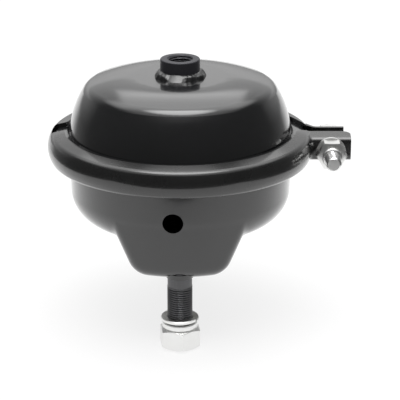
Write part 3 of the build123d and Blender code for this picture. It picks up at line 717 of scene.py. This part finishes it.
class CHAMBER_OT_weld(bpy.types.Operator):
    """Uneven bead round the inlet: (R cos^p a, H sin^p a) plus slow waves and ripples, with one flat"""
    bl_idname = "brake_chamber.weld"
    bl_label = "Weld bead"

    def execute(self, context):
        sizes = context.scene.chamber_weld
        low, high = box_mm("inlet_weld")
        inner = box_mm("inlet_boss")[1][0] - SEAM
        turn = np.linspace(0, 2 * pi, WELD_COLUMNS, endpoint=False)[None, :]
        arc = np.linspace(0, pi / 2, WELD_ARC)[:, None]
        skew = RIPPLE_SKEW * np.sin(2 * arc)
        ripple = sizes.ripple / MM * (np.cos(sizes.ripples * turn - skew) - 1)
        slow = sum(share * (np.sin(waves * turn + phase) - 1) for share, waves, phase in SLOW_WAVES)
        wander = sizes.wander / MM * slow
        first, second = (np.sin(waves * turn + phase + lean * arc) for waves, phase, lean in LUMP_WAVES)
        lumps = sizes.lump / MM * (first * second - 1)
        away = (turn - sizes.flat_turn + pi) % (2 * pi) - pi
        flat = np.exp(-(away / sizes.flat_width) ** 4)
        reach = high[0] - inner + wander * (1 - flat)
        rise = (high[2] - low[2] + wander / 2) * (1 - flat) + reach / np.tan(sizes.flat_slope) * flat
        power = ROUND + (STRAIGHT - ROUND) * flat
        swell = (ripple + lumps * np.sin(2 * arc)) * (1 - FLAT_SMOOTH * flat)
        radii = inner + reach * np.cos(arc) ** power + swell * np.cos(arc)
        heights = low[2] + rise * np.sin(arc) ** power + swell * np.sin(arc)
        radii = np.concatenate([np.full((1, WELD_COLUMNS), inner), radii])
        heights = np.concatenate([np.full((1, WELD_COLUMNS), low[2]), heights])
        shell = solid_of_turn(radii, heights, WELD_COLUMNS)
        make_piece("inlet_weld_detail", [shell], bpy.data.materials["weld_paint"], "chamber",
                   ["inlet_weld"], WELD_CREASE)
        return {"FINISHED"}


class CHAMBER_OT_soft(bpy.types.Operator):
    """Return spring, gaiter and diaphragm in place of their CAD nodes"""
    bl_idname = "brake_chamber.soft"
    bl_label = "Spring, gaiter and diaphragm"

    def execute(self, context):
        sizes = context.scene.chamber_soft
        stroke = frame["joints"][0]["range_m"][1]
        self.spring(sizes, stroke)
        self.gaiter(sizes, stroke)
        self.diaphragm(sizes)
        return {"FINISHED"}

    def spring(self, sizes, stroke):
        """Wire swept on a cone: centre (R(s) cos a, R(s) sin a, z(s)), a = 2 pi n s, both ends closed."""
        low, high = box_mm("return_spring")
        wire = sizes.wire / MM
        foot, top = high[0] - wire, sizes.spring_top / MM
        s = np.linspace(0, 1, WIRE_ROWS)[:, None]
        angle = 2 * pi * sizes.turns * s
        radius = foot + (top - foot) * s
        z = low[2] + wire + (high[2] - low[2] - 2 * wire) * s
        centre = np.concatenate([radius * np.cos(angle), radius * np.sin(angle), z], axis=1)
        along = np.gradient(centre, axis=0)
        along /= np.linalg.norm(along, axis=1, keepdims=True)
        out = np.concatenate([np.cos(angle), np.sin(angle), 0 * angle], axis=1)
        side = np.cross(along, out)
        side /= np.linalg.norm(side, axis=1, keepdims=True)
        out = np.cross(side, along)
        turn = np.linspace(0, 2 * pi, WIRE_COLUMNS, endpoint=False)[None, :, None]
        rings = centre[:, None] + wire * (np.cos(turn) * out[:, None] + np.sin(turn) * side[:, None])
        ends = [np.repeat(centre[k][None, None], WIRE_COLUMNS, axis=1) for k in (0, -1)]
        points = np.concatenate([ends[0], rings, ends[1]]).reshape(-1, 3) * MM
        shell = (points, grid_faces(WIRE_ROWS + 2, WIRE_COLUMNS))
        piece = make_piece("return_spring_detail", [shell], bpy.data.materials["chamber_paint"], "chamber",
                           ["return_spring"], SOFT_CREASE)
        self.shorten(piece, low[2], high[2], stroke)

    def gaiter(self, sizes, stroke):
        """Bellows: r = middle + half cos(2 pi folds z), turned round the axis, with a bead and a cuff."""
        low, high = box_mm("gaiter")
        ring = box_mm("gaiter_ring")[1][0]
        seat = box_mm("stiffener_plate")[1][2]
        wall = sizes.gaiter_wall / MM
        rod = box_mm("push_rod")[1][0] - wall / 2
        cuff = high[2] - sizes.cuff / MM
        flange = seat + wall * FLANGE
        z = rows_between(flange, cuff, GAITER_STEP)
        phase = (z - flange) / (cuff - flange) * (sizes.folds + 0.5)
        crest, valley = sizes.crest / MM, sizes.valley / MM
        outer = (crest + valley) / 2 + (crest - valley) / 2 * np.cos(2 * pi * phase)
        inside = ring + SEAM
        bead = inside + wall
        profile = [(bead, low[2]), (bead, seat), (high[0], seat), (high[0], flange)]
        profile += list(zip(outer, z)) + [(valley, high[2]), (rod, high[2]), (rod, cuff)]
        profile += list(zip(outer[::-1] - wall, z[::-1])) + [(inside, seat), (inside, low[2])]
        radii, heights = np.array(profile).T
        shell = solid_of_turn(radii, heights, STUD_COLUMNS)
        piece = make_piece("gaiter_detail", [shell], bpy.data.materials["rubber"], "chamber",
                           ["gaiter"], SOFT_CREASE)
        self.shorten(piece, seat, high[2], stroke)

    def diaphragm(self, sizes):
        """Cup turned round the axis: a wedge rim, a flank of slope f between two arcs, a flat crown."""
        high = box_mm("diaphragm")[1]
        split = (box_mm("pressure_cover")[0][2] + box_mm("housing_bowl")[1][2]) / 2
        wall = sizes.rubber / MM
        turn_r = sizes.cup_round / MM
        foot_r, crown_r = sizes.cup_foot / MM, sizes.cup_crown / MM
        base, top = split + wall / 2, high[2]
        flank = np.arctan2(top - base, foot_r - crown_r)
        cut = turn_r * np.tan(flank / 2)
        arc = flank * np.linspace(0, 1, CUP_ARC)
        across, up = turn_r * np.sin(arc), turn_r * (1 - np.cos(arc))
        foot = np.stack([foot_r + cut - across, base + up], axis=-1)
        crown = np.stack([crown_r - cut + across, top - up], axis=-1)[::-1]
        outside = np.concatenate([foot, crown])
        normal = np.concatenate([arc, arc[::-1]])
        inside = outside - wall * np.stack([np.sin(normal), np.cos(normal)], axis=-1)
        rim, edge = sizes.rim / MM, high[0]
        thick, thin = sizes.rim_inner / MM, sizes.rim_outer / MM
        wedge = [(rim, split - thick), (edge, split - thin), (edge, split + thin), (rim, split + thick)]
        profile = np.concatenate([
            [(AXIS, top - wall)], inside[::-1], [(rim, base - wall)], wedge,
            [(rim, base)], outside, [(AXIS, top)],
        ])
        radii, heights = profile.T
        shell = solid_of_turn(radii, heights, NUT_COLUMNS)
        piece = make_piece("diaphragm_detail", [shell], bpy.data.materials["rubber"], "chamber",
                           ["diaphragm"])
        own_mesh(piece)

    def shorten(self, piece, bottom, top, stroke):
        """Gives a piece a mesh of its own."""
        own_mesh(piece)


class CHAMBER_OT_stage(bpy.types.Operator):
    """Pale floor, soft room light and the camera"""
    bl_idname = "brake_chamber.stage"
    bl_label = "Stage"

    def execute(self, context):
        look = context.scene.chamber_stage
        scene = context.scene
        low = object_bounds()[0][2]
        left, right, near, far = -look.sheet_left, look.sheet_right, -look.sheet_front, look.sheet_back
        corners = [(left, near, low), (right, near, low), (right, far, low), (left, far, low)]
        mesh = bpy.data.meshes.new("floor")
        mesh.from_pydata(corners, [], [(0, 1, 2, 3)])
        floor = bpy.data.objects.new("floor", mesh)
        scene.collection.objects.link(floor)
        floor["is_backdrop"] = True
        self.paper(mesh, look)
        self.room(scene, look)
        self.camera(scene)
        scene.view_settings.view_transform = "Standard"
        return {"FINISHED"}

    def camera(self, scene):
        """Long lens in front of the part, looking 20 degrees down."""
        camera = bpy.data.objects.new("camera", bpy.data.cameras.new("camera"))
        camera.data.lens = CAMERA_LENS
        camera.data.clip_end = CAMERA_REACH
        camera.location = CAMERA_PLACE
        camera.rotation_euler = (CAMERA_TILT, 0, 0)
        scene.collection.objects.link(camera)
        scene.camera = camera

    def paper(self, mesh, look):
        """White paper: a plain matt floor, mixed with plain white where camera or gloss sees it."""
        material = bpy.data.materials.new("floor")
        material.use_nodes = True
        tree = material.node_tree
        surface = tree.nodes["Principled BSDF"]
        surface.inputs["Base Color"].default_value = (*look.floor, 1)
        surface.inputs["Roughness"].default_value = FLOOR_ROUGHNESS
        surface.inputs["Specular IOR Level"].default_value = 0.0
        white = node(tree, "ShaderNodeEmission", {"Color": WHITE, "Strength": 1.0})
        share = combine(tree, "MULTIPLY", seen_rays(tree), look.paper)
        mix = node(tree, "ShaderNodeMixShader", {0: share, 1: surface.outputs[0], 2: white.outputs[0]})
        tree.links.new(mix.outputs[0], tree.nodes["Material Output"].inputs["Surface"])
        mesh.materials.append(material)

    def room(self, scene, look):
        """Room by direction (x, y, z): pale behind, paler above, dim low in front, one soft lamp overhead.

        The camera sees plain white instead, and so does gloss that looks below the horizon behind the part.
        """
        world = bpy.data.worlds.new("room")
        scene.world = world
        world.use_nodes = True
        tree = world.node_tree
        tree.nodes.clear()
        where = node(tree, "ShaderNodeTexCoord").outputs["Generated"]
        x, y, z = node(tree, "ShaderNodeSeparateXYZ", {0: where}).outputs
        light = combine(tree, "ADD", self.walls(tree, x, y, z, look), self.lamp(tree, where, look))
        light = node(tree, "ShaderNodeBackground", {"Color": WHITE, "Strength": light})
        plain = node(tree, "ShaderNodeBackground", {"Color": WHITE, "Strength": 1.0})
        sweep = combine(tree, "MULTIPLY", ramp(tree, z, *SWEEP_Z), ramp(tree, y, *SWEEP_Y))
        seen = seen_rays(tree, sweep)
        mix = node(tree, "ShaderNodeMixShader", {0: seen, 1: light.outputs[0], 2: plain.outputs[0]})
        node(tree, "ShaderNodeOutputWorld", {0: mix.outputs[0]})

    def walls(self, tree, x, y, z, look):
        """Back wall x skirting x joint x sides, rising to the ceiling, with the dim front laid over it."""
        aside = node(tree, "ShaderNodeMath", {0: x}, operation="ABSOLUTE").outputs[0]
        level = combine(tree, "SUBTRACT", z, ramp(tree, aside, *ASIDE))
        pale = ramp(tree, level, *CEILING_RISE, look.back, look.ceiling)
        gap = combine(tree, "MULTIPLY", ramp(tree, z, *JOINT_FOOT), ramp(tree, level, *JOINT_HEAD))
        joint = ramp(tree, gap, 0.0, 1.0, 1.0, look.gap)
        for share in (ramp(tree, z, *SKIRTING), joint, ramp(tree, y, *SIDES)):
            pale = combine(tree, "MULTIPLY", pale, share)
        dim = combine(tree, "MULTIPLY", ramp(tree, y, *NEAR), ramp(tree, z, *LOW))
        return node(tree, "ShaderNodeMix", {0: dim, 2: pale, 3: look.front}).outputs[0]

    def lamp(self, tree, where, look):
        """Round lamp that leans toward the front, by the cosine of the angle from its middle."""
        middle = (0.0, -np.sin(look.lean), np.cos(look.lean))
        toward = node(tree, "ShaderNodeVectorMath", {0: where, 1: middle}, operation="DOT_PRODUCT")
        return ramp(tree, toward.outputs["Value"], *LAMP_EDGE, 0.0, look.lamp)


PIECES = (
    CHAMBER_OT_finishes, CHAMBER_OT_studs, CHAMBER_OT_stud_nuts, CHAMBER_OT_clamp_bolt,
    CHAMBER_OT_inlet, CHAMBER_OT_weld, CHAMBER_OT_soft, CHAMBER_OT_stage,
)
SETTINGS = {
    "chamber_finish": ChamberFinish,
    "chamber_threads": ChamberThreads,
    "chamber_nuts": ChamberNuts,
    "chamber_weld": ChamberWeld,
    "chamber_soft": ChamberSoft,
    "chamber_stage": ChamberStage,
}


class CHAMBER_PT_panel(bpy.types.Panel):
    """Lists the pieces and their sizes"""
    bl_idname = "CHAMBER_PT_panel"
    bl_label = "Brake Chamber"
    bl_space_type = "VIEW_3D"
    bl_region_type = "UI"
    bl_category = "Brake Chamber"

    def draw(self, context):
        for group in SETTINGS:
            values = getattr(context.scene, group)
            for key in values.__annotations__:
                self.layout.prop(values, key)
        for piece in PIECES:
            self.layout.operator(piece.bl_idname)


def register():
    for group in SETTINGS.values():
        bpy.utils.register_class(group)
    for name, group in SETTINGS.items():
        setattr(bpy.types.Scene, name, bpy.props.PointerProperty(type=group))
    for piece in PIECES:
        bpy.utils.register_class(piece)
    bpy.utils.register_class(CHAMBER_PT_panel)


def unregister():
    bpy.utils.unregister_class(CHAMBER_PT_panel)
    for piece in reversed(PIECES):
        bpy.utils.unregister_class(piece)
    for name, group in SETTINGS.items():
        delattr(bpy.types.Scene, name)
        bpy.utils.unregister_class(group)


def main():
    register()
    for piece in PIECES:
        space, name = piece.bl_idname.split(".")
        getattr(getattr(bpy.ops, space), name)()


if __name__ == "__main__":
    main()
